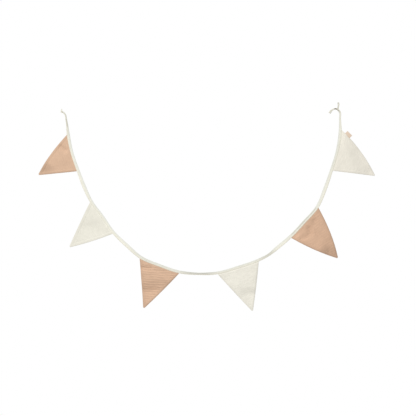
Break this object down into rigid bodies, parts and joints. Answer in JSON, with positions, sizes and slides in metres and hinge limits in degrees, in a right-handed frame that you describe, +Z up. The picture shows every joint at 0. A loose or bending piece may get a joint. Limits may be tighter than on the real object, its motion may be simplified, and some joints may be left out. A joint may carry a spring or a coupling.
{
  "type": "fabric bunting",
  "caption": "Cotton bunting: triangular cloth pennants sewn into a folded tape that hangs in a swag by its knotted ends.",
  "frame": {"origin": "middle of the knot at the left end of the tape, where the bunting hangs", "axes": "+X across the swag to the right knot, +Z up, -Y the face that is seen; at rest it hangs in the XZ plane"},
  "size_m": [1.3494, 0.0514, 0.8351],
  "materials": {
    "tape": "matt cotton tape",
    "pink_cotton": "matt crinkled cotton",
    "white_cotton": "matt crinkled cotton",
    "label": "smooth woven ribbon"
  },
  "bodies": {
    "root": {"tape": "tape", "pennant_1": "pink_cotton", "pennant_2": "white_cotton", "pennant_3": "pink_cotton", "pennant_4": "white_cotton", "pennant_5": "pink_cotton", "pennant_6": "white_cotton", "label": "label"}
  },
  "joints": []
}
